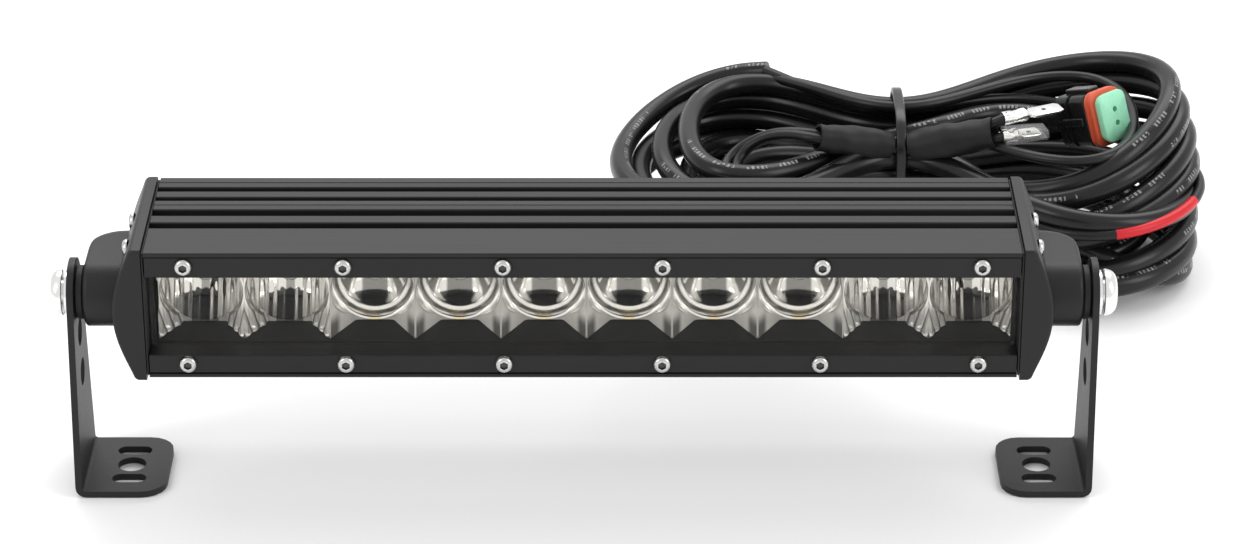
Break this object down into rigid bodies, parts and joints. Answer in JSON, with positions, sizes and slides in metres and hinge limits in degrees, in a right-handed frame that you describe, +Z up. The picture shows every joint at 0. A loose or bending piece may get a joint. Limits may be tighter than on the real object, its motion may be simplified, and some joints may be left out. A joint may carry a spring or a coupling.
{
  "type": "led light bar",
  "caption": "Slim finned LED light bar with clear window and reflector cups, on two tilting L brackets, with its wiring harness tied in a hank behind it.",
  "frame": {"origin": "on the surface the feet stand on, under the middle of the lamp, measured without the cable and what is on it", "axes": "+X along the bar, to the right as seen from the front; -Y the way the lens faces; +Z up"},
  "size_m": [0.3588, 0.2273, 0.0812],
  "materials": {
    "black_powder_coat": "satin, fine texture",
    "black_anodised": "black anodised, satin, drawn along the length",
    "bright_steel": "polished, domed",
    "stainless_screw": "bright, slightly brushed",
    "black_silicone": "matte",
    "black_rubber": "matte, soft sheen",
    "clear_polycarbonate": "clear, hard coated",
    "metallised_plastic": "vacuum metallised, mirror bright",
    "white_solder_mask": "matte white",
    "green_solder_mask": "semi-gloss",
    "black_nylon": "moulded, low gloss",
    "cable_jacket": "extruded PVC, soft gloss",
    "orange_seal": "matte silicone",
    "mint_wedge": "moulded, satin"
  },
  "bodies": {
    "light_bar": {"board_screw_1": "stainless_screw", "board_screw_2": "stainless_screw", "board_screw_3": "stainless_screw", "board_screw_4": "stainless_screw", "cable_gland": "black_nylon", "cable_hank": "cable_jacket", "cable_tie": "black_nylon", "cap_screw_left_1": "stainless_screw", "cap_screw_left_2": "stainless_screw", "cap_screw_left_3": "stainless_screw", "cap_screw_left_4": "stainless_screw", "cap_screw_right_1": "stainless_screw", "cap_screw_right_2": "stainless_screw", "cap_screw_right_3": "stainless_screw", "cap_screw_right_4": "stainless_screw", "clamp_rail_lower": "black_anodised", "clamp_rail_upper": "black_anodised", "driver_board": "green_solder_mask", "end_cap_left": "black_powder_coat", "end_cap_right": "black_powder_coat", "end_gasket_left": "black_silicone", "end_gasket_right": "black_silicone", "housing_extrusion": "black_anodised", "lead_cable": "cable_jacket", "led_board": "white_solder_mask", "lens": "clear_polycarbonate", "lens_gasket": "black_silicone", "lock_washer_left": "bright_steel", "lock_washer_right": "bright_steel", "mounting_bolt_left": "bright_steel", "mounting_bolt_right": "bright_steel", "plug_body": "black_nylon", "plug_seal": "orange_seal", "plug_wedge": "mint_wedge", "rail_screw_lower_1": "stainless_screw", "rail_screw_lower_2": "stainless_screw", "rail_screw_lower_3": "stainless_screw", "rail_screw_lower_4": "stainless_screw", "rail_screw_lower_5": "stainless_screw", "rail_screw_lower_6": "stainless_screw", "rail_screw_upper_1": "stainless_screw", "rail_screw_upper_2": "stainless_screw", "rail_screw_upper_3": "stainless_screw", "rail_screw_upper_4": "stainless_screw", "rail_screw_upper_5": "stainless_screw", "rail_screw_upper_6": "stainless_screw", "reflector_flood_left": "metallised_plastic", "reflector_flood_right": "metallised_plastic", "reflector_spot": "metallised_plastic", "spacer_washer_left": "black_rubber", "spacer_washer_right": "black_rubber", "splice_sleeve": "black_rubber", "strain_relief": "black_rubber", "terminal_negative": "bright_steel", "terminal_positive": "bright_steel", "terminal_sleeve": "black_rubber"},
    "left_bracket": {"bracket_left": "black_powder_coat"},
    "right_bracket": {"bracket_right": "black_powder_coat"}
  },
  "joints": [
    {"name": "left_bracket_tilt", "type": "hinge", "parent": "light_bar", "child": "left_bracket", "pos_m": [-0.1499, -0.0144, 0.06], "axis": [1, 0, 0], "range_deg": [-90, 90]},
    {"name": "right_bracket_tilt", "type": "hinge", "parent": "light_bar", "child": "right_bracket", "pos_m": [0.1499, -0.0144, 0.06], "axis": [1, 0, 0], "range_deg": [-90, 90]}
  ]
}
